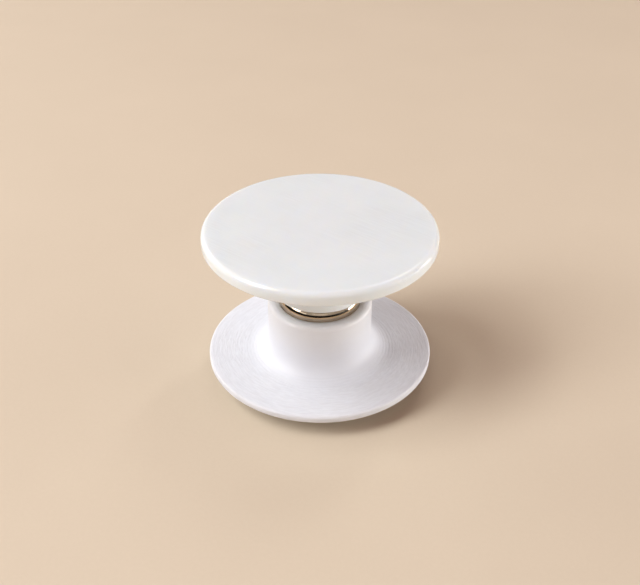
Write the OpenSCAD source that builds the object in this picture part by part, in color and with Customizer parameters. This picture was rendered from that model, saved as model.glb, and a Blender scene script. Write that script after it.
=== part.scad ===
// Magnetic door catch in two halves.
// The base carries a capped disc magnet in its neck, and the keeper carries a steel strike plate in its stem.
// A foam pad under the base's flange bonds it to the frame.
// Millimetres. The axis of all turned pieces is Z, and the pad's underside lies on Z = 0.

/* [Mounting pad] */
// Diameter of the adhesive foam pad under the flange
pad_d = 30; // [20:0.5:33]
// Thickness of the pad
pad_t = 3; // [1:0.1:4]

/* [Base] */
// Diameter of the base's flange
flange_d = 40; // [36:0.5:48]
// Thickness of the flange
flange_t = 1.3; // [1:0.05:2]
// Rounding of the flange's rim
flange_edge_r = 0.35; // [0.2:0.05:0.45]
// Height of the neck's lip above the flange's underside
neck_h = 11.45; // [10:0.05:16]
// Wall of the neck around the magnet's pocket
neck_wall = 1.95; // [1:0.05:3]
// Rounding of the lip's outer edge
lip_edge_r = 0.7; // [0.2:0.05:0.9]
// Radius that blends the neck into the flange
neck_fillet_r = 3.6; // [1:0.1:4.5]

/* [Magnet] */
// Diameter of the disc magnet
magnet_d = 13; // [10:0.5:15]
// Thickness of the disc magnet
magnet_t = 6; // [4:0.25:7]
// Wall of the drawn cap over the magnet
cap_wall = 0.65; // [0.4:0.05:0.9]
// Outer radius of the cap's shoulder
cap_shoulder_r = 1.5; // [1:0.05:2]
// Height of the cap above the neck's lip
cap_proud = 2; // [1:0.05:2.5]

/* [Keeper] */
// Diameter of the keeper's disc
keeper_d = 40; // [36:0.5:48]
// Thickness of the keeper's disc
keeper_t = 2.35; // [2:0.05:4]
// Rounding of the disc's outer edge, on the face side
keeper_face_edge_r = 0.95; // [0.3:0.05:1]
// Rounding of the disc's outer edge, on the stem side
keeper_back_edge_r = 0.4; // [0.2:0.05:1]
// Length of the stem below the disc
stem_l = 9.7; // [8:0.05:14]
// Wall of the stem around the strike plate
stem_wall = 1.85; // [1:0.05:3]
// Rounding of the stem's end
stem_edge_r = 0.3; // [0.2:0.05:0.8]
// Radius that blends the stem into the disc
stem_fillet_r = 3; // [1:0.1:4.5]

/* [Strike plate] */
// Diameter of the strike plate
strike_d = 12.6; // [11:0.1:15]
// Thickness of the strike plate
strike_t = 2.4; // [2:0.05:3]
// Height of the strike plate beyond the stem's end
strike_proud = 0.5; // [0.1:0.05:0.8]
// Rounding of the strike plate's edges
strike_edge_r = 0.25; // [0.1:0.05:0.4]

/* [Strike screw] */
// Diameter of the screw's shank
screw_d = 2.9; // [2.2:0.1:3.2]
// Length of the screw from its face to its point
screw_l = 8; // [6:0.25:9]
// Diameter of the countersunk head
screw_head_d = 5.4; // [4.8:0.1:6]
// Depth of the head's face below the strike plate's face
screw_sink = 0.15; // [0.05:0.05:0.3]
// Span of the cross recess in the head
cross_span = 3; // [2.4:0.1:3.4]
// Width of each arm of the cross recess
cross_w = 0.8; // [0.5:0.05:1]
// Depth of the cross recess
cross_depth = 1.2; // [0.8:0.05:1.4]

/* [Fits] */
// Clearance between a seated piece and the walls around it
fit_gap = 0.05; // [0.02:0.01:0.1]
// Clearance of the screw's shank through the strike plate
shank_gap = 0.15; // [0.1:0.05:0.3]
// Room left beyond the screw's point
point_gap = 0.3; // [0.1:0.1:0.6]

/* [Hidden] */
$fn = 128;

foam_grey = [0.24, 0.24, 0.25];
white_plastic = [0.93, 0.93, 0.92];
nickel = [0.72, 0.69, 0.64];
magnet_grey = [0.45, 0.45, 0.46];
screw_steel = [0.66, 0.66, 0.67];

// Cuts run past a face by this much, so that they open it cleanly
cut_past = 1;
// Largest share of a disc's thickness that one rounded edge takes
edge_share = 0.48;

// Cap and pocket, from the magnet outwards
magnet_r = magnet_d / 2;
cap_inner_r = magnet_r + fit_gap;
cap_r = cap_inner_r + cap_wall;
cap_h = magnet_t + fit_gap + cap_wall;
cap_inner_shoulder_r = cap_shoulder_r - cap_wall;
pocket_r = cap_r + fit_gap;
neck_r = pocket_r + neck_wall;

// Heights, from the pad's underside up
flange_z = pad_t;
pocket_h = neck_h + cap_proud - cap_h;
pocket_z = flange_z + pocket_h;
meeting_z = pocket_z + cap_h;
stem_z = meeting_z + strike_proud;
disc_z = stem_z + stem_l;

// Stem and seat, from the strike plate outwards
strike_r = strike_d / 2;
strike_seat_r = strike_r + fit_gap;
stem_r = strike_seat_r + stem_wall;
strike_back_z = meeting_z + strike_t;

// Screw, with a 90 degree head and a 60 degree point
screw_r = screw_d / 2;
screw_head_r = screw_head_d / 2;
head_h = screw_head_r - screw_r;
screw_z = meeting_z + screw_sink;
point_h = screw_r * tan(60);
pilot_r = screw_r + fit_gap;
pilot_end_z = screw_z + screw_l + point_gap;
cross_floor_r = cross_w / 2;
head_seat_r = screw_head_r + fit_gap;
shank_hole_r = screw_r + shank_gap;

// Quarter of a round bar's section, in the quadrant that x_side and z_side point to
module quarter_round(r, x_side, z_side) {
    intersection() {
        circle(r);
        translate([x_side > 0 ? 0 : -r, z_side > 0 ? 0 : -r])
            square(r);
    }
}

// Half section of a disc of radius r and thickness t, with its lower and upper edges rounded
module disc_section(r, t, lower_r, upper_r) {
    low = min(lower_r, t * edge_share);
    high = min(upper_r, t * edge_share);
    square([r - low, low]);
    translate([0, low])
        square([r, t - low - high]);
    translate([0, t - high])
        square([r - high, high]);
    translate([r - low, low])
        quarter_round(low, 1, -1);
    translate([r - high, t - high])
        quarter_round(high, 1, 1);
}

// Half section of a cylinder of radius r and height h, with its upper edge rounded
module shouldered_section(r, h, shoulder_r) {
    square([r, h - shoulder_r]);
    translate([0, h - shoulder_r])
        square([r - shoulder_r, shoulder_r]);
    translate([r - shoulder_r, h - shoulder_r])
        quarter_round(shoulder_r, 1, 1);
}

// Section of the fillet that fills an inside corner, towards +X and towards z_side
module fillet_section(r, z_side) {
    translate([0, z_side > 0 ? 0 : -r])
        difference() {
            square(r);
            translate([r, z_side > 0 ? r : 0])
                circle(r);
        }
}

// Die-cut disc of adhesive foam
module mounting_pad() {
    color(foam_grey)
        cylinder(d = pad_d, h = pad_t);
}

// White turned body: flange, fillet and neck, with a blind pocket and a lip rounded on its outer edge
module base() {
    color(white_plastic)
        translate([0, 0, flange_z])
            rotate_extrude() {
                disc_section(flange_d / 2, flange_t, flange_edge_r, flange_edge_r);
                difference() {
                    shouldered_section(neck_r, neck_h, min(lip_edge_r, neck_wall));
                    translate([0, pocket_h])
                        square([pocket_r, neck_h]);
                }
                translate([neck_r, flange_t])
                    fillet_section(neck_fillet_r, 1);
            }
}

// Drawn cap with a round shoulder, open below
module magnet_cap() {
    color(nickel)
        translate([0, 0, pocket_z])
            rotate_extrude()
                difference() {
                    shouldered_section(cap_r, cap_h, cap_shoulder_r);
                    translate([0, -cut_past])
                        shouldered_section(cap_inner_r, cap_h - cap_wall + cut_past, cap_inner_shoulder_r);
                }
}

// Disc magnet that stands on the pocket's floor and fills the cap
module magnet() {
    color(magnet_grey)
        translate([0, 0, pocket_z])
            rotate_extrude()
                shouldered_section(magnet_r, magnet_t, cap_inner_shoulder_r);
}

// White turned disc with its stem, the seat for the strike plate and the blind hole for the screw
module keeper() {
    color(white_plastic)
        difference() {
            rotate_extrude() {
                translate([0, disc_z])
                    disc_section(keeper_d / 2, keeper_t, keeper_back_edge_r, keeper_face_edge_r);
                translate([0, disc_z])
                    mirror([0, 1])
                        shouldered_section(stem_r, stem_l, min(stem_edge_r, stem_wall));
                translate([stem_r, disc_z])
                    fillet_section(stem_fillet_r, -1);
            }
            translate([0, 0, stem_z - cut_past])
                cylinder(r = strike_seat_r, h = strike_back_z - stem_z + cut_past);
            translate([0, 0, strike_back_z - cut_past])
                cylinder(r = pilot_r, h = pilot_end_z - point_h - strike_back_z + cut_past);
            translate([0, 0, pilot_end_z - point_h])
                cylinder(r1 = pilot_r, r2 = 0, h = point_h);
        }
}

// Steel disc that the magnet holds, with a countersunk hole
module strike_plate() {
    color(nickel)
        translate([0, 0, meeting_z])
            difference() {
                rotate_extrude()
                    disc_section(strike_r, strike_t, strike_edge_r, strike_edge_r);
                translate([0, 0, -cut_past])
                    cylinder(r = shank_hole_r, h = strike_t + 2 * cut_past);
                translate([0, 0, -cut_past])
                    cylinder(r = head_seat_r, h = cut_past + screw_sink);
                translate([0, 0, screw_sink])
                    cylinder(r1 = head_seat_r, r2 = shank_hole_r, h = head_seat_r - shank_hole_r);
            }
}

// Countersunk self-tapping screw, head down, with a cross recess
module strike_screw() {
    color(screw_steel)
        translate([0, 0, screw_z])
            difference() {
                union() {
                    cylinder(r1 = screw_head_r, r2 = screw_r, h = head_h);
                    translate([0, 0, head_h])
                        cylinder(r = screw_r, h = screw_l - head_h - point_h);
                    translate([0, 0, screw_l - point_h])
                        cylinder(r1 = screw_r, r2 = 0, h = point_h);
                }
                cross_recess();
            }
}

// Cross recess: two tapered arms that meet on the axis
module cross_recess() {
    intersection() {
        union() {
            for (turn = [0, 90]) {
                rotate([0, 0, turn])
                    translate([-cross_span / 2, -cross_w / 2, -cut_past])
                        cube([cross_span, cross_w, cross_depth + cut_past]);
            }
        }
        union() {
            translate([0, 0, -cut_past])
                cylinder(r = cross_span / 2, h = cut_past);
            cylinder(r1 = cross_span / 2, r2 = cross_floor_r, h = cross_depth);
        }
    }
}

mounting_pad();
base();
magnet_cap();
magnet();
keeper();
strike_plate();
strike_screw();
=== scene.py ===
# %% [markdown]
# # A magnetic door catch
# The catch is two white turned halves. The base holds a capped magnet in its neck, and the keeper holds a
# steel strike plate in its stem, so the keeper can be pulled off and snaps back by itself.
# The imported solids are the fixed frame: they say where everything is. Each half could be shown as it comes,
# but lathe marks, dents and a screw's thread need finer meshes, so the pieces are turned again here.

# %% Load the frame
import math
import random

import bmesh
import bpy
from mathutils import Matrix, Vector


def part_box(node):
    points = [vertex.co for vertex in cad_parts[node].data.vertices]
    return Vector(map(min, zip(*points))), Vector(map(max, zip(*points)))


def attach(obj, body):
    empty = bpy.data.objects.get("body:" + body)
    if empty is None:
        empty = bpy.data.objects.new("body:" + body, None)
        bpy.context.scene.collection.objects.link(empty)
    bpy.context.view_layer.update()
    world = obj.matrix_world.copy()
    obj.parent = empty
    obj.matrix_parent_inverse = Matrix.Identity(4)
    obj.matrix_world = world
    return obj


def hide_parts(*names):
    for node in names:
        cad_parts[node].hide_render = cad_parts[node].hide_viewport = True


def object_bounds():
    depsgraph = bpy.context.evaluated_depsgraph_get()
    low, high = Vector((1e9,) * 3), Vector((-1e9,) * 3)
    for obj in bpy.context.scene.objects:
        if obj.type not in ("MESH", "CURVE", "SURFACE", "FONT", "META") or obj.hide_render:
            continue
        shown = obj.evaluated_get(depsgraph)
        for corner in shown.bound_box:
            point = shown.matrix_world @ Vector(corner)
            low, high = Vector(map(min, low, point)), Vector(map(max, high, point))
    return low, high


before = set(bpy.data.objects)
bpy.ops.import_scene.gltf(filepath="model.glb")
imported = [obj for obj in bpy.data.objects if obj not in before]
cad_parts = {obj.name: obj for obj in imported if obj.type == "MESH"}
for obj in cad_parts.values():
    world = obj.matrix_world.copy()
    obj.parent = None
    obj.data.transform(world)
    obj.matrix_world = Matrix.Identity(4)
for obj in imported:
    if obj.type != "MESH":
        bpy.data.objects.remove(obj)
cad_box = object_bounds()
MM = 0.001
lowest, highest = ([round(c / MM, 2) for c in corner] for corner in cad_box)
print("solids reach from", lowest, "to", highest)

# %% [markdown]
# ## The camera
# A camera can be placed by eye, but four facts of the picture fix it better: how long the lens is in pixels,
# how far away and how steeply it looks down, and which pixel the middle of the base stands on.
# The three axes of the camera are its matrix's columns, and the eye lies back along them from the base.

# %% Set up the camera
PICTURE_WIDE, PICTURE_HIGH = 640, 585
LENS_PX = 935.64
EYE_REACH = 171.49 * MM
LOOK_DOWN = 0.6027
LEAN = 0.0027
BASE_PX = (319.75, 349.26)

back = Vector((0.0, -math.cos(LOOK_DOWN), math.sin(LOOK_DOWN)))
level_right = Vector((1.0, 0.0, 0.0))
level_up = back.cross(level_right)
right = math.cos(LEAN) * level_right + math.sin(LEAN) * level_up
up = back.cross(right)
offset_right = (BASE_PX[0] - PICTURE_WIDE / 2) / LENS_PX
offset_up = (PICTURE_HIGH / 2 - BASE_PX[1]) / LENS_PX
base_centre = Vector((0.0, 0.0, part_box("base")[0].z))
eye = base_centre + (back - offset_right * right - offset_up * up) * EYE_REACH

lens = bpy.data.cameras.new("photo_camera")
lens.sensor_fit = "HORIZONTAL"
lens.sensor_width = 36.0
lens.lens = LENS_PX / PICTURE_WIDE * lens.sensor_width
lens.clip_start = 0.01
camera = bpy.data.objects.new("photo_camera", lens)
bpy.context.scene.collection.objects.link(camera)
turned = Matrix((right, up, back)).transposed().to_4x4()
camera.matrix_world = Matrix.Translation(eye) @ turned
bpy.context.scene.camera = camera
print("lens", round(lens.lens, 2), "mm, eye at", [round(c / MM, 1) for c in eye])

# %% [markdown]
# ## Turning a shape from half of its section
# All pieces are round, as if they came off a lathe. A cylinder with bevelled edges would do for one of them,
# but half of the section, drawn as a line and spun about the axis, gives every shoulder and fillet at once.
# Corners of the line are rounded with a vertex bevel, which makes a true arc where two lines meet squarely.

# %% Helpers for turned pieces
def section_line(points, closed=False):
    """A bmesh with one line through points of (radius, height) in millimetres, and its corners."""
    bm = bmesh.new()
    corners = [bm.verts.new((r * MM, 0.0, z * MM)) for r, z in points]
    for start, end in zip(corners, corners[1:]):
        bm.edges.new((start, end))
    if closed:
        bm.edges.new((corners[-1], corners[0]))
    return bm, corners


def round_corner(bm, corner, radius, segments):
    """Rounds one corner of a section and gives back the arc's vertices."""
    made = bmesh.ops.bevel(bm, geom=[corner], offset=radius * MM, offset_type="OFFSET", affect="VERTICES",
                           segments=segments, profile=0.5, material=-1)
    return made["verts"]


def turn(bm, steps):
    """Spins a section all the way round the Z axis and closes its seam and poles."""
    bmesh.ops.spin(bm, geom=bm.verts[:] + bm.edges[:], cent=(0, 0, 0), axis=(0, 0, 1), dvec=(0, 0, 0),
                   angle=math.tau, steps=steps, use_merge=True)
    bmesh.ops.remove_doubles(bm, verts=bm.verts[:], dist=0.0001 * MM)
    bmesh.ops.recalc_face_normals(bm, faces=bm.faces[:])


SHARP_ANGLE = math.radians(32)


def make_piece(bm, name, body, slot, *nodes):
    """Makes an object of a bmesh, lets it ride on a body and stand for CAD nodes, and prints its size."""
    mesh = bpy.data.meshes.new(name)
    open_edges = sum(1 for edge in bm.edges if len(edge.link_faces) != 2)
    bm.to_mesh(mesh)
    bm.free()
    mesh.shade_smooth()
    mesh.set_sharp_from_angle(angle=SHARP_ANGLE)
    piece = bpy.data.objects.new(name, mesh)
    bpy.context.scene.collection.objects.link(piece)
    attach(piece, body)
    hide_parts(*nodes)
    mesh.calc_loop_triangles()
    print(name, "has", len(mesh.loop_triangles), "triangles and", open_edges, "open edges")
    return piece


# %% [markdown]
# ## The foam pad
# A disc of dark adhesive foam under the flange bonds the base to its frame. It keeps the flange a little off
# the floor, which is what makes the deep shadow under the rim. A plain cylinder would do, but a punch leaves
# the cut edge slightly hollow, so the side of the section is a row of points that are drawn in a little.

# %% Punch the pad
pad_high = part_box("mounting_pad")[1]
PAD_R, PAD_T = pad_high.x / MM, pad_high.z / MM
PAD_EDGE = 0.12
PAD_HOLLOW = 0.08
SIDE_STEPS = 12
side = []
for step in range(SIDE_STEPS + 1):
    part_way = step / SIDE_STEPS
    side.append((PAD_R - PAD_HOLLOW * math.sin(math.pi * part_way), PAD_T * part_way))
bm, corners = section_line([(0.0, 0.0), *side, (0.0, PAD_T)])
round_corner(bm, corners[1], PAD_EDGE, 3)
round_corner(bm, corners[-2], PAD_EDGE, 3)
turn(bm, 192)
pad = make_piece(bm, "punched_pad", "base_half", "pad_foam", "mounting_pad")

# %% [markdown]
# ## The base
# The base is a thin flange, a wide fillet and a neck with a blind pocket for the capped magnet. A sharp tool
# leaves rings where it stops cutting, most of all in the fillet. Rings could be painted with a bump, but real
# ones catch the light at the fillet's edge, so the section itself gets small steps before it is spun.

# %% Turn the base
base_low, base_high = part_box("base")
cap_low, cap_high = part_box("magnet_cap")
FLANGE_R, FLANGE_Z, LIP_Z = base_high.x / MM, base_low.z / MM, base_high.z / MM
FLANGE_T = 1.3
FLANGE_TOP = FLANGE_Z + FLANGE_T
FLANGE_EDGE = 0.35
NECK_R = 9.2
NECK_FILLET = 3.6
LIP_EDGE = 0.7
FIT_GAP = 0.05
POCKET_R, POCKET_Z = cap_high.x / MM + FIT_GAP, cap_low.z / MM
BROKEN_EDGE = 0.08
SUPPORT = 0.25
FLANGE_RINGS = 54
FLANGE_RING_DEPTH, FILLET_RING_DEPTH = 0.004, 0.007
RINGS_OFF_NECK = 1.7

bm, corners = section_line([
    (0.0, FLANGE_Z), (FLANGE_R - FLANGE_EDGE - SUPPORT, FLANGE_Z), (FLANGE_R, FLANGE_Z),
    (FLANGE_R, FLANGE_TOP), (FLANGE_R - FLANGE_EDGE - SUPPORT, FLANGE_TOP), (NECK_R, FLANGE_TOP),
    (NECK_R, LIP_Z), (POCKET_R, LIP_Z), (POCKET_R, POCKET_Z), (0.0, POCKET_Z)])
round_corner(bm, corners[2], FLANGE_EDGE, 7)
round_corner(bm, corners[3], FLANGE_EDGE, 7)
round_corner(bm, corners[5], NECK_FILLET, 44)
round_corner(bm, corners[6], LIP_EDGE, 12)
round_corner(bm, corners[7], BROKEN_EDGE, 2)

level_lines = [e for e in bm.edges if all(abs(v.co.z - FLANGE_TOP * MM) < 1e-8 for v in e.verts)]
face_line = max(level_lines, key=lambda e: e.calc_length())
cut = bmesh.ops.subdivide_edges(bm, edges=[face_line], cuts=FLANGE_RINGS)
flat_marks = [v for v in cut["geom_inner"] if isinstance(v, bmesh.types.BMVert)]
fillet_centre = Vector(((NECK_R + NECK_FILLET) * MM, 0.0, (FLANGE_TOP + NECK_FILLET) * MM))
fillet_marks = [v for v in bm.verts
                if abs((v.co - fillet_centre).length - NECK_FILLET * MM) < 1e-7
                and v.co.x > (NECK_R + RINGS_OFF_NECK) * MM
                and v.co.z > (FLANGE_TOP + 0.001) * MM]
ring_depths = random.Random(12)
for vertex in sorted(fillet_marks, key=lambda v: v.co.x):
    inward = (vertex.co - fillet_centre).normalized()
    vertex.co += inward * ring_depths.uniform(0.0, FILLET_RING_DEPTH) * MM
for vertex in sorted(flat_marks, key=lambda v: v.co.x):
    vertex.co.z -= ring_depths.uniform(0.0, FLANGE_RING_DEPTH) * MM
print(len(fillet_marks), "rings in the fillet and", len(flat_marks), "on the flange")
turn(bm, 256)
base = make_piece(bm, "turned_base", "base_half", "white_plastic", "base")

# %% [markdown]
# ## The magnet's cap
# A thin nickel-plated cup is drawn over the magnet. Its round shoulder is the bright bead between the halves,
# and it mirrors the lip below it, the dark edge of the room and the lamps. A solid disc would look the same
# from outside, but a real cap is a shell, so the section runs up the outside and back down the inside.

# %% Draw the cap
CAP_R, CAP_Z, CAP_TOP = cap_high.x / MM, cap_low.z / MM, cap_high.z / MM
CAP_WALL = 0.65
CAP_SHOULDER = 1.5
CAP_RIM_EDGE = 0.15
bm, corners = section_line([
    (0.0, CAP_TOP), (CAP_R - CAP_SHOULDER - SUPPORT, CAP_TOP), (CAP_R, CAP_TOP), (CAP_R, CAP_Z),
    (CAP_R - CAP_WALL, CAP_Z), (CAP_R - CAP_WALL, CAP_TOP - CAP_WALL), (0.0, CAP_TOP - CAP_WALL)])
round_corner(bm, corners[2], CAP_SHOULDER, 28)
round_corner(bm, corners[3], CAP_RIM_EDGE, 3)
round_corner(bm, corners[4], CAP_RIM_EDGE, 3)
round_corner(bm, corners[5], CAP_SHOULDER - CAP_WALL, 10)
turn(bm, 256)
cap = make_piece(bm, "drawn_cap", "base_half", "nickel_cap", "magnet_cap")

# %% [markdown]
# ## The keeper
# The keeper is a thick disc with a stem. Its face is rounded at the edge, and handling has left small dents
# along that edge. A noise texture could hint at them, but a dent shows in the outline, so the faces there are
# divided finely and their vertices pushed in, deepest in the middle of each dent.

# %% Turn the keeper
keeper_low, keeper_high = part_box("keeper")
strike_low, strike_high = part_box("strike_plate")
DISC_R, DISC_TOP, STEM_Z = keeper_high.x / MM, keeper_high.z / MM, keeper_low.z / MM
DISC_T = 2.35
DISC_Z = DISC_TOP - DISC_T
FACE_EDGE = 0.95
BACK_EDGE = 0.4
STEM_R = 8.2
STEM_FILLET = 3.0
STEM_EDGE = 0.3
FACE_STEPS = (6.0, 12.0)
SEAT_R, SEAT_Z = strike_high.x / MM + FIT_GAP, strike_high.z / MM
PILOT_R = 1.5
PILOT_END = 24.9
PILOT_CONE = 2.51

bm, corners = section_line([
    (0.0, DISC_TOP), *((r, DISC_TOP) for r in FACE_STEPS), (DISC_R - FACE_EDGE - SUPPORT, DISC_TOP),
    (DISC_R, DISC_TOP), (DISC_R, DISC_Z), (DISC_R - BACK_EDGE - SUPPORT, DISC_Z), (STEM_R, DISC_Z),
    (STEM_R, STEM_Z), (SEAT_R, STEM_Z), (SEAT_R, SEAT_Z), (PILOT_R, SEAT_Z),
    (PILOT_R, PILOT_END - PILOT_CONE), (0.0, PILOT_END)])
round_corner(bm, corners[4], FACE_EDGE, 14)
round_corner(bm, corners[5], BACK_EDGE, 7)
round_corner(bm, corners[7], STEM_FILLET, 20)
round_corner(bm, corners[8], STEM_EDGE, 5)
round_corner(bm, corners[9], BROKEN_EDGE, 2)
rim_lines = [e for e in bm.edges if all(abs(v.co.x - DISC_R * MM) < 1e-8 for v in e.verts)]
bmesh.ops.subdivide_edges(bm, edges=rim_lines, cuts=4)
turn(bm, 320)

# %% Dent the keeper's edge
def bearing(point):
    """Angle of a point around the axis, in degrees: 0 faces the camera, 90 is to the right."""
    return math.degrees(math.atan2(point.x, -point.y))


DENTED = (32.0, 66.0)
MOST_DENTED = 46.0
DENTS = 34
DENT_TILT = (4.0, 56.0)
DENT_REACH = (0.14, 0.34)
DENT_DEPTH = (0.02, 0.06)
ZONE_MARGIN = 0.1
dent_zone = [v for v in bm.verts
             if v.co.z > (DISC_Z + BACK_EDGE) * MM
             and v.co.xy.length > (DISC_R - FACE_EDGE - ZONE_MARGIN) * MM
             and DENTED[0] < bearing(v.co) < DENTED[1]]
zone = set(dent_zone)
zone_edges = [e for e in bm.edges if e.verts[0] in zone and e.verts[1] in zone]
bmesh.ops.subdivide_edges(bm, edges=zone_edges, cuts=3, use_grid_fill=True)
bm.normal_update()
near_edge = [v for v in bm.verts
             if v.co.z > (DISC_Z + BACK_EDGE) * MM
             and v.co.xy.length > (DISC_R - FACE_EDGE - ZONE_MARGIN) * MM
             and DENTED[0] - 1 < bearing(v.co) < DENTED[1] + 1]
wear = random.Random(5)
dents = []
for _ in range(DENTS):
    where = math.radians(wear.triangular(DENTED[0] + 2, DENTED[1] - 2, MOST_DENTED))
    tilt = math.radians(wear.uniform(*DENT_TILT))
    rim = (DISC_R - FACE_EDGE + FACE_EDGE * math.cos(tilt)) * MM
    centre = Vector((rim * math.sin(where), -rim * math.cos(where),
                     (DISC_TOP - FACE_EDGE + FACE_EDGE * math.sin(tilt)) * MM))
    dents.append((centre, wear.uniform(*DENT_REACH) * MM, wear.uniform(*DENT_DEPTH) * MM))
for vertex in near_edge:
    push = 0.0
    for centre, reach, depth in dents:
        share = (vertex.co - centre).length / reach
        if share < 1.0:
            push = max(push, depth * (1.0 - share * share) ** 2)
    vertex.co -= vertex.normal * push
print(len(dents), "dents, the deepest", round(max(d[2] for d in dents) / MM, 3), "mm")
keeper = make_piece(bm, "turned_keeper", "keeper_half", "white_plastic", "keeper")

# %% [markdown]
# ## The strike plate
# A turned steel disc sits in the end of the stem, with a countersunk hole for its screw. It could be a plain
# washer, but the countersink is what the screw's head beds into. Its section is a closed loop, which the spin
# makes into a ring.

# %% Turn the strike plate
STRIKE_R, STRIKE_Z, STRIKE_BACK = strike_high.x / MM, strike_low.z / MM, strike_high.z / MM
STRIKE_EDGE = 0.25
SHANK_HOLE = 1.6
HEAD_SEAT = 2.75
HEAD_SINK = 0.15
SEAT_EDGE = 0.05
bm, corners = section_line([
    (SHANK_HOLE, STRIKE_BACK), (STRIKE_R, STRIKE_BACK), (STRIKE_R, STRIKE_Z), (HEAD_SEAT, STRIKE_Z),
    (HEAD_SEAT, STRIKE_Z + HEAD_SINK),
    (SHANK_HOLE, STRIKE_Z + HEAD_SINK + HEAD_SEAT - SHANK_HOLE)], closed=True)
round_corner(bm, corners[1], STRIKE_EDGE, 6)
round_corner(bm, corners[2], STRIKE_EDGE, 6)
round_corner(bm, corners[3], SEAT_EDGE, 2)
turn(bm, 192)
strike = make_piece(bm, "strike_disc", "keeper_half", "strike_steel", "strike_plate")

# %% [markdown]
# ## The strike's screw
# A countersunk self-tapping screw holds the plate. The thread could be left out, since the stem hides it, but
# spin makes one easily: with a step along the axis, a small triangle climbs as it turns. The driver's cross
# is cut with a Boolean modifier, and a narrow bevel breaks the edges that a real screw never has sharp.

# %% Turn the screw and cut the cross in its head
screw_low, screw_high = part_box("strike_screw")
SCREW_Z, SCREW_END, HEAD_R = screw_low.z / MM, screw_high.z / MM, screw_high.x / MM
SHANK_R = 1.45
CORE_R = 1.1
HEAD_H = HEAD_R - SHANK_R
HEAD_RIM = 0.02
COLLAR, COLLAR_END = 0.3, 0.65
POINT_H = 2.5
CROSS_SPAN = 3.0
CROSS_W = 0.8
CROSS_DEPTH = 1.2

bm, _ = section_line([
    (HEAD_R, SCREW_Z), (HEAD_R - HEAD_RIM, SCREW_Z + HEAD_RIM), (SHANK_R, SCREW_Z + HEAD_H),
    (SHANK_R, SCREW_Z + HEAD_H + COLLAR), (CORE_R, SCREW_Z + HEAD_H + COLLAR_END),
    (CORE_R, SCREW_END - POINT_H), (0.0, SCREW_END)])
turn(bm, 64)
bmesh.ops.holes_fill(bm, edges=[e for e in bm.edges if e.is_boundary], sides=0)
bmesh.ops.recalc_face_normals(bm, faces=bm.faces[:])
blank_mesh = bpy.data.meshes.new("screw_blank")
bm.to_mesh(blank_mesh)
bm.free()
blank = bpy.data.objects.new("screw_blank", blank_mesh)
bpy.context.scene.collection.objects.link(blank)

arms = []
for quarter in (0, 1):
    bm = bmesh.new()
    bmesh.ops.create_cube(bm, size=1.0)
    deep_end = [v for v in bm.verts if v.co.z > 0]
    bmesh.ops.scale(bm, vec=(CROSS_W / CROSS_SPAN, 1.0, 1.0), verts=deep_end)
    bmesh.ops.scale(bm, vec=(CROSS_SPAN * MM, CROSS_W * MM, CROSS_DEPTH * 2 * MM), verts=bm.verts[:])
    quarter_turn = Matrix.Rotation(math.radians(45 + 90 * quarter), 3, "Z")
    bmesh.ops.rotate(bm, cent=(0, 0, 0), matrix=quarter_turn, verts=bm.verts[:])
    bmesh.ops.translate(bm, vec=(0, 0, SCREW_Z * MM), verts=bm.verts[:])
    arm_mesh = bpy.data.meshes.new("cross_arm")
    bm.to_mesh(arm_mesh)
    bm.free()
    arm = bpy.data.objects.new("cross_arm", arm_mesh)
    bpy.context.scene.collection.objects.link(arm)
    cut_cross = blank.modifiers.new("cut_cross", "BOOLEAN")
    cut_cross.operation = "DIFFERENCE"
    cut_cross.solver = "EXACT"
    cut_cross.object = arm
    arms.append(arm)
broken_edges = blank.modifiers.new("broken_edges", "BEVEL")
broken_edges.limit_method = "ANGLE"
broken_edges.angle_limit = math.radians(40)
broken_edges.width = SEAT_EDGE * MM
broken_edges.segments = 2
worked_out = bpy.context.evaluated_depsgraph_get()
head_mesh = bpy.data.meshes.new_from_object(blank.evaluated_get(worked_out))
for used in [blank, *arms]:
    bpy.data.objects.remove(used)
print("screw blank with its cross has", len(head_mesh.polygons), "faces")

# %% Wind the thread
PITCH = 1.0
THREAD_TURNS = 3
THREAD_STEPS = 28
THREAD_FROM = 0.9
TOOTH = 0.2
ROOT = 0.1
bm = bmesh.new()
bm.from_mesh(head_mesh)
thread_z = SCREW_Z + HEAD_H + THREAD_FROM
tooth = [bm.verts.new((r * MM, 0.0, z * MM)) for r, z in (
    (CORE_R - ROOT, thread_z - TOOTH), (SHANK_R, thread_z), (CORE_R - ROOT, thread_z + TOOTH))]
tooth_lines = [bm.edges.new((tooth[k], tooth[(k + 1) % 3])) for k in range(3)]
wound = bmesh.ops.spin(bm, geom=tooth + tooth_lines, cent=(0, 0, 0), axis=(0, 0, 1),
                       dvec=(0, 0, PITCH * MM / THREAD_STEPS), angle=math.tau * THREAD_TURNS,
                       steps=THREAD_STEPS * THREAD_TURNS, use_merge=False)
bm.faces.new(tooth)
bm.faces.new([v for v in wound["geom_last"] if isinstance(v, bmesh.types.BMVert)])
bmesh.ops.recalc_face_normals(bm, faces=bm.faces[:])
screw = make_piece(bm, "countersunk_screw", "keeper_half", "screw_steel", "strike_screw")

# %% [markdown]
# ## Building materials from nodes
# A material can be put together by hand in the editor, one node at a time. In a script the same tree is
# shorter if one helper makes a node, sets its values and joins its sockets. Colours are written as they look
# on a screen and turned into the linear values that the shader reckons with.

# %% Helpers for materials
def shade(red, green, blue):
    """A colour as it looks on a screen, 0 to 255, as the linear colour that a shader takes."""
    linear = []
    for part in (red, green, blue):
        part = part / 255
        linear.append(part / 12.92 if part <= 0.04045 else ((part + 0.055) / 1.055) ** 2.4)
    return (*linear, 1.0)


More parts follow.
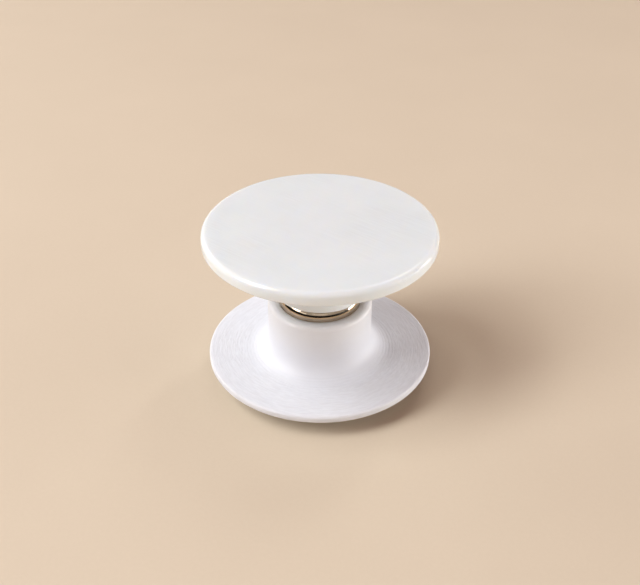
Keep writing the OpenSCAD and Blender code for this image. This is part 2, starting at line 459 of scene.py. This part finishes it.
def add(tree, kind, inputs=None, **settings):
    """Makes a node, sets its options, and fills its inputs with values or with other nodes' sockets."""
    made = tree.nodes.new(kind)
    for name, value in settings.items():
        setattr(made, name, value)
    for socket, value in (inputs or {}).items():
        if isinstance(value, bpy.types.NodeSocket):
            tree.links.new(value, made.inputs[socket])
        else:
            made.inputs[socket].default_value = value
    return made


def math_node(tree, operation, *inputs):
    """The result of a Math node on up to three values or sockets."""
    return add(tree, "ShaderNodeMath", dict(enumerate(inputs)), operation=operation).outputs[0]


def vector_node(tree, operation, *inputs):
    """The vector that a Vector Math node gives for its inputs."""
    return add(tree, "ShaderNodeVectorMath", dict(enumerate(inputs)), operation=operation).outputs[0]


def span(tree, value, from_low, from_high, to_low, to_high):
    """A value moved from one range into another and held inside it."""
    inputs = {"Value": value, "From Min": from_low, "From Max": from_high,
              "To Min": to_low, "To Max": to_high}
    return add(tree, "ShaderNodeMapRange", inputs).outputs["Result"]


def noise(tree, vector, scale, detail=2.0, roughness=0.5):
    """The grey value of a Noise texture."""
    inputs = {"Vector": vector, "Scale": scale, "Detail": detail, "Roughness": roughness}
    return add(tree, "ShaderNodeTexNoise", inputs).outputs["Fac"]


def blend(tree, share, first, second):
    """A colour between two colours."""
    return add(tree, "ShaderNodeMix", {0: share, 6: first, 7: second}, data_type="RGBA").outputs[2]


def new_finish(name):
    """A new material, its node tree and its Principled shader."""
    finish = bpy.data.materials.new(name)
    finish.use_nodes = True
    return finish, finish.node_tree, finish.node_tree.nodes["Principled BSDF"]


def places(tree):
    """Object coordinates in millimetres, the distance from the axis, the height and the way around it."""
    place = add(tree, "ShaderNodeTexCoord").outputs["Object"]
    in_mm = vector_node(tree, "MULTIPLY", place, (1000, 1000, 1000))
    level = vector_node(tree, "MULTIPLY", in_mm, (1, 1, 0))
    radius = add(tree, "ShaderNodeVectorMath", {0: level}, operation="LENGTH").outputs["Value"]
    height = add(tree, "ShaderNodeSeparateXYZ", {0: in_mm}).outputs["Z"]
    around = vector_node(tree, "NORMALIZE", level)
    return in_mm, radius, height, around


def lathe_marks(tree, radius, height, around, spacing, breaks):
    """Fine grooves that run round the axis: spacing is in millimetres, breaks says how often they stop."""
    along = math_node(tree, "SUBTRACT", radius, height)
    step = math_node(tree, "DIVIDE", along, spacing)
    rise = add(tree, "ShaderNodeCombineXYZ", {"Z": step}).outputs[0]
    turned_place = vector_node(tree, "MULTIPLY_ADD", around, (breaks, breaks, 0), rise)
    return noise(tree, turned_place, 1.0, 2.0)


def wear_finish(*pieces, finish):
    """Gives pieces one material."""
    for piece in pieces:
        piece.data.materials.clear()
        piece.data.materials.append(finish)
    print(finish.name, "on", [piece.name for piece in pieces])


# %% [markdown]
# ## White plastic, as turned
# The base is a hard white plastic that lets some light in, so its edges look soft. The tool has left broken
# rings on the flange and in the fillet, while the neck is smooth. An image of such marks could be wrapped
# round it, but noise that is stretched around the axis fits any size. Each groove also gets painted shade, a
# touch of grey in its colour for the shade it holds, and faint clouds keep the white from being one flat
# colour.

# %% The base's plastic
turned_white, tree, shader = new_finish("turned_white_plastic")
in_mm, radius, height, around = places(tree)
clouds = noise(tree, in_mm, 0.16, 3.0)
white = blend(tree, span(tree, clouds, 0.3, 0.7, 0.0, 1.0), shade(228, 233, 241), shade(231, 236, 243))
RING_STEP = 0.55
RINGS_FROM, RINGS_TO = 10.4, 13.8
dashes = lathe_marks(tree, radius, height, around, 0.3, 9.0)
long_marks = lathe_marks(tree, radius, height, around, 0.6, 1.4)
wave = math_node(tree, "SINE", math_node(tree, "MULTIPLY", radius, math.tau / RING_STEP))
swell = math_node(tree, "MULTIPLY", wave, span(tree, long_marks, 0.35, 0.6, 0.1, 0.5))
fade_in = span(tree, radius, RINGS_FROM, RINGS_FROM + 0.5, 0.0, 1.0)
fade_out = span(tree, radius, RINGS_TO - 0.6, RINGS_TO, 1.0, 0.0)
rings = math_node(tree, "MULTIPLY", swell, math_node(tree, "MULTIPLY", fade_in, fade_out))
on_flange = span(tree, radius, RINGS_FROM, RINGS_TO, 0.0, 1.0)
strokes = math_node(tree, "MULTIPLY", math_node(tree, "MULTIPLY_ADD", long_marks, 0.6, dashes), on_flange)
marks = math_node(tree, "MULTIPLY_ADD", rings, 0.35, strokes)
relief = add(tree, "ShaderNodeBump", {"Strength": 1.0, "Distance": 0.1 * MM, "Height": marks})
# painted shade: each groove on the flange is greyed in the colour, standing in for the shade it holds
painted_groove_shade = math_node(tree, "MULTIPLY", span(tree, dashes, 0.35, 0.65, 0.1, 0.0), on_flange)
white = blend(tree, painted_groove_shade, white, shade(150, 150, 156))
tree.links.new(white, shader.inputs["Base Color"])
satin = span(tree, dashes, 0.3, 0.7, 0.42, 0.58)
NECK_FROM, NECK_TO = 6.0, 9.0
NECK_ROUGHNESS = 0.3
on_neck = span(tree, height, NECK_FROM, NECK_TO, 0.0, 1.0)
smooth = add(tree, "ShaderNodeMix", {0: on_neck, 2: satin, 3: NECK_ROUGHNESS}).outputs[0]
tree.links.new(smooth, shader.inputs["Roughness"])
tree.links.new(relief.outputs["Normal"], shader.inputs["Normal"])
shader.inputs["IOR"].default_value = 1.48
tree.links.new(span(tree, height, NECK_FROM, NECK_TO, 0.5, 1.0), shader.inputs["Subsurface Weight"])
light_reach = span(tree, height, NECK_FROM, NECK_TO, 1.0 * MM, 2.5 * MM)
tree.links.new(light_reach, shader.inputs["Subsurface Scale"])
shader.inputs["Subsurface Radius"].default_value = (1.0, 1.0, 1.0)
wear_finish(base, finish=turned_white)

# %% [markdown]
# ## White plastic, as faced and rubbed
# The keeper is the same plastic. Its face has been rubbed on a flat sheet, which leaves faint straight
# scratches instead of rings, more of them in some places than in others. They could be modelled one by one,
# but a noise that is stretched in one direction makes them all. They are kept to what faces upwards: the
# edge stays polished, and draws the lamps as thin bright lines.

# %% The keeper's plastic
faced_white, tree, shader = new_finish("faced_white_plastic")
in_mm = places(tree)[0]
clouds = noise(tree, in_mm, 0.12, 3.0)
white = blend(tree, span(tree, clouds, 0.3, 0.7, 0.0, 1.0), shade(227, 236, 240), shade(231, 239, 243))
RUB_ANGLE = math.radians(-38)
SCRATCH_LONG, SCRATCH_WIDE = 8.0, 0.34
rub = {"Vector": in_mm, "Rotation": (0, 0, RUB_ANGLE), "Scale": (SCRATCH_LONG, SCRATCH_WIDE, 1.0)}
rubbed = add(tree, "ShaderNodeMapping", rub, vector_type="TEXTURE")
scratches = noise(tree, rubbed.outputs[0], 1.0, 3.0, 0.6)
facing = add(tree, "ShaderNodeNewGeometry").outputs["Normal"]
upward = add(tree, "ShaderNodeSeparateXYZ", {0: facing}).outputs["Z"]
on_face = span(tree, upward, 0.95, 0.99, 0.0, 1.0)
marks = math_node(tree, "MULTIPLY", scratches, on_face)
relief = add(tree, "ShaderNodeBump", {"Strength": 1.0, "Distance": 0.012 * MM, "Height": marks})
rubbed_hard = span(tree, noise(tree, in_mm, 0.09, 2.0), 0.45, 0.62, 0.2, 1.0)
# painted shade: each scratch greys the face's colour a little, standing in for the shade it holds, more where
# the face was rubbed hard
depth = math_node(tree, "MULTIPLY", span(tree, scratches, 0.35, 0.65, 0.09, 0.0), rubbed_hard)
white = blend(tree, math_node(tree, "MULTIPLY", depth, on_face), white, shade(176, 179, 181))
tree.links.new(white, shader.inputs["Base Color"])
satin = span(tree, scratches, 0.3, 0.7, 0.24, 0.27)
EDGE_ROUGHNESS = 0.1
gloss = add(tree, "ShaderNodeMix", {0: on_face, 2: EDGE_ROUGHNESS, 3: satin}).outputs[0]
tree.links.new(gloss, shader.inputs["Roughness"])
tree.links.new(relief.outputs["Normal"], shader.inputs["Normal"])
shader.inputs["IOR"].default_value = 1.48
shader.inputs["Subsurface Weight"].default_value = 1.0
shader.inputs["Subsurface Radius"].default_value = (1.0, 0.9, 0.8)
shader.inputs["Subsurface Scale"].default_value = 1.6 * MM
wear_finish(keeper, finish=faced_white)

# %% [markdown]
# ## Foam
# Closed-cell foam is matt and full of tiny cells, which show as pits on its cut side. Voronoi cells make the
# pits better than plain noise, because each one has a rim. The dark grey varies a little from cell to cell.

# %% The pad's foam
foam, tree, shader = new_finish("dark_foam")
in_mm = places(tree)[0]
cells = add(tree, "ShaderNodeTexVoronoi", {"Vector": in_mm, "Scale": 5.0}).outputs["Distance"]
greys = noise(tree, in_mm, 2.0, 4.0)
dark = blend(tree, span(tree, greys, 0.3, 0.7, 0.0, 1.0), shade(58, 57, 57), shade(74, 73, 72))
relief = add(tree, "ShaderNodeBump", {"Strength": 1.0, "Distance": 0.05 * MM, "Height": cells})
tree.links.new(dark, shader.inputs["Base Color"])
tree.links.new(relief.outputs["Normal"], shader.inputs["Normal"])
tree.links.new(span(tree, cells, 0.0, 0.6, 0.95, 0.8), shader.inputs["Roughness"])
shader.inputs["Specular IOR Level"].default_value = 0.3
wear_finish(pad, finish=foam)

# %% [markdown]
# ## The metals
# Nickel plate is a warm grey and nearly a mirror. The strike plate has been faced on a lathe, so fine rings
# spread its shine, and the screw is bright zinc. All three could share one shader, but their grain differs.

# %% Nickel, faced steel, zinc and the magnet's plating
def metal(name, dark, bright, rough_low, rough_high, ring_spacing, ring_breaks, ring_depth):
    """A bare metal whose fine rings carry its colour, its roughness and its relief."""
    finish, tree, shader = new_finish(name)
    in_mm, radius, height, around = places(tree)
    rings = lathe_marks(tree, radius, height, around, ring_spacing, ring_breaks)
    stains = noise(tree, in_mm, 0.7, 3.0)
    relief = add(tree, "ShaderNodeBump", {"Strength": 1.0, "Distance": ring_depth * MM, "Height": rings})
    colour = blend(tree, span(tree, stains, 0.3, 0.7, 0.0, 1.0), dark, bright)
    tree.links.new(colour, shader.inputs["Base Color"])
    tree.links.new(span(tree, rings, 0.3, 0.7, rough_low, rough_high), shader.inputs["Roughness"])
    tree.links.new(relief.outputs["Normal"], shader.inputs["Normal"])
    shader.inputs["Metallic"].default_value = 1.0
    return finish


nickel = metal("nickel_plate", shade(190, 172, 150), shade(200, 182, 160), 0.07, 0.12, 0.08, 2.0, 0.0004)
faced_steel = metal("faced_steel", shade(188, 185, 180), shade(200, 197, 192), 0.19, 0.26, 0.12, 1.2, 0.002)
zinc = metal("bright_zinc", shade(196, 197, 198), shade(212, 212, 211), 0.29, 0.38, 0.3, 6.0, 0.001)
magnet_plate = metal("magnet_plate", shade(176, 172, 166), shade(190, 186, 180), 0.29, 0.36, 0.2, 5.0, 0.001)
wear_finish(cap, finish=nickel)
wear_finish(strike, finish=faced_steel)
wear_finish(screw, finish=zinc)
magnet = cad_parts["magnet"]
magnet.material_slots[0].material = magnet_plate
print(magnet_plate.name, "on", magnet.name)

# %% [markdown]
# ## The floor
# The catch stands on a sheet of warm beige paper. A plain plane would do, but paper has a fine tooth and
# uneven tone, and both show next to a smooth white object. The floor isn't part of the catch, so it is stage.

# %% Lay the paper
FLOOR_R = 2.0
FLOOR_DROP = 0.01
bm = bmesh.new()
bmesh.ops.create_circle(bm, cap_ends=True, segments=96, radius=FLOOR_R)
bmesh.ops.translate(bm, vec=(0, 0, -FLOOR_DROP * MM), verts=bm.verts[:])
floor_mesh = bpy.data.meshes.new("paper_floor")
bm.to_mesh(floor_mesh)
bm.free()
floor = bpy.data.objects.new("paper_floor", floor_mesh)
bpy.context.scene.collection.objects.link(floor)

paper, tree, shader = new_finish("beige_paper")
in_mm = places(tree)[0]
tooth = noise(tree, in_mm, 1.6, 4.0, 0.65)
clouds = noise(tree, in_mm, 0.03, 3.0)
fine_tone = math_node(tree, "MULTIPLY", tooth, 0.5)
tone = math_node(tree, "ADD", fine_tone, math_node(tree, "MULTIPLY", clouds, 0.5))
buff = blend(tree, span(tree, tone, 0.3, 0.7, 0.0, 1.0), shade(215, 203, 182), shade(219, 207, 186))
relief = add(tree, "ShaderNodeBump", {"Strength": 1.0, "Distance": 0.02 * MM, "Height": tooth})
tree.links.new(buff, shader.inputs["Base Color"])
tree.links.new(relief.outputs["Normal"], shader.inputs["Normal"])
shader.inputs["Roughness"].default_value = 0.85
shader.inputs["Specular IOR Level"].default_value = 0.2
wear_finish(floor, finish=paper)

# %% [markdown]
# ## Light
# One large soft lamp stands on the left, with a second one above it. Weak ones fill in from the front, the
# back and low on the left, a low card on the right lights the neck from there, and a narrow card at the back
# right draws the bright line on the keeper's edge. Lamps could be set by wattage, but it is easier to say how
# bright each one looks, because that is what the metal mirrors. The room is pale in reflections and adds a
# faint warm light to the shadows.

# %% Set the lamps
AIM = Vector((0.0, 0.0, 16.0 * MM))


def softbox(name, around_deg, height_deg, reach, wide, high, brightness, tint=(1.0, 1.0, 1.0)):
    """A soft lamp, around_deg to the right of the camera's side. Brightness is how its face looks."""
    lamp = bpy.data.lights.new(name, "AREA")
    lamp.color = tint
    lamp.shape = "RECTANGLE"
    lamp.size = wide
    lamp.size_y = high
    lamp.energy = brightness * math.pi * wide * high
    side, rise = math.radians(around_deg), math.radians(height_deg)
    towards = Vector((math.sin(side) * math.cos(rise), -math.cos(side) * math.cos(rise), math.sin(rise)))
    box = bpy.data.objects.new(name, lamp)
    facing_aim = towards.to_track_quat("Z", "Y").to_matrix().to_4x4()
    box.matrix_world = Matrix.Translation(AIM + towards * reach) @ facing_aim
    box.visible_camera = False
    bpy.context.scene.collection.objects.link(box)
    print(name, "gives", round(lamp.energy, 3), "W")
    return box


softbox("left_softbox", -72.0, 38.0, 0.9, 0.35, 0.45, 10.2, (1.0, 1.0, 1.015))
softbox("upper_softbox", -85.0, 58.0, 1.2, 0.5, 0.4, 7.4)
softbox("low_left_card", -122.0, 27.0, 0.9, 0.4, 0.3, 3.15)
softbox("back_softbox", 180.0, 52.0, 0.9, 0.4, 0.4, 1.05)
softbox("back_right_card", 150.0, 50.0, 0.9, 0.08, 0.32, 9.0)
softbox("right_card", 84.0, 6.5, 0.5, 0.62, 0.1, 11.2)
softbox("front_softbox", 0.0, 40.0, 1.2, 0.8, 0.5, 0.33)
softbox("left_card", -57.0, 24.0, 0.6, 0.4, 0.1, 1.1)

LOW_ROOM, HIGH_ROOM = (0.6, 0.56, 0.51, 1.0), (0.44, 0.44, 0.45, 1.0)
WARM_LIGHT = (0.15, 0.038, 0.004, 1.0)
room = bpy.data.worlds.new("pale_room")
room.use_nodes = True
bpy.context.scene.world = room
tree = room.node_tree
looking = add(tree, "ShaderNodeTexCoord").outputs["Generated"]
rise = add(tree, "ShaderNodeSeparateXYZ", {0: looking}).outputs["Z"]
mirrored = blend(tree, span(tree, rise, 0.0, 1.0, 0.0, 1.0), LOW_ROOM, HIGH_ROOM)
rays = add(tree, "ShaderNodeLightPath").outputs
direct = math_node(tree, "MAXIMUM", rays["Is Camera Ray"], rays["Is Glossy Ray"])
direct = math_node(tree, "MAXIMUM", direct, rays["Is Transmission Ray"])
room_light = blend(tree, direct, WARM_LIGHT, mirrored)
tree.links.new(room_light, tree.nodes["Background"].inputs["Color"])
print("the room has", len(tree.nodes), "nodes")

# %% [markdown]
# ## A dark wall for the metal
# Polished metal looks like metal only if it has something dark to mirror. The room could be made dark, but
# the white plastic would lose its light too. A low wall round the front that only reflections can see gives
# the cap its dark line and leaves the rest alone.

# %% Stand the dark wall
WALL_R = 0.09
WALL_H = 0.042
WALL_ENDS = (-100.0, 77.0)
bm = bmesh.new()
post = [bm.verts.new((0.0, -WALL_R, z)) for z in (0.0, WALL_H)]
post_line = bm.edges.new(post)
bmesh.ops.rotate(bm, cent=(0, 0, 0), matrix=Matrix.Rotation(math.radians(WALL_ENDS[0]), 3, "Z"), verts=post)
bmesh.ops.spin(bm, geom=[*post, post_line], cent=(0, 0, 0), axis=(0, 0, 1), dvec=(0, 0, 0),
               angle=math.radians(WALL_ENDS[1] - WALL_ENDS[0]), steps=96, use_merge=False)
wall_mesh = bpy.data.meshes.new("dark_wall")
bm.to_mesh(wall_mesh)
bm.free()
wall = bpy.data.objects.new("dark_wall", wall_mesh)
bpy.context.scene.collection.objects.link(wall)
wall.visible_camera = False
wall.visible_diffuse = False
wall.visible_shadow = False
wall.visible_transmission = False
dark_room, tree, shader = new_finish("dark_room")
in_mm = places(tree)[0]
grey = blend(tree, noise(tree, in_mm, 0.01), shade(10, 9, 8), shade(22, 20, 18))
tree.links.new(grey, shader.inputs["Base Color"])
shader.inputs["Roughness"].default_value = 1.0
wear_finish(wall, finish=dark_room)

bpy.context.scene.view_settings.view_transform = "Standard"
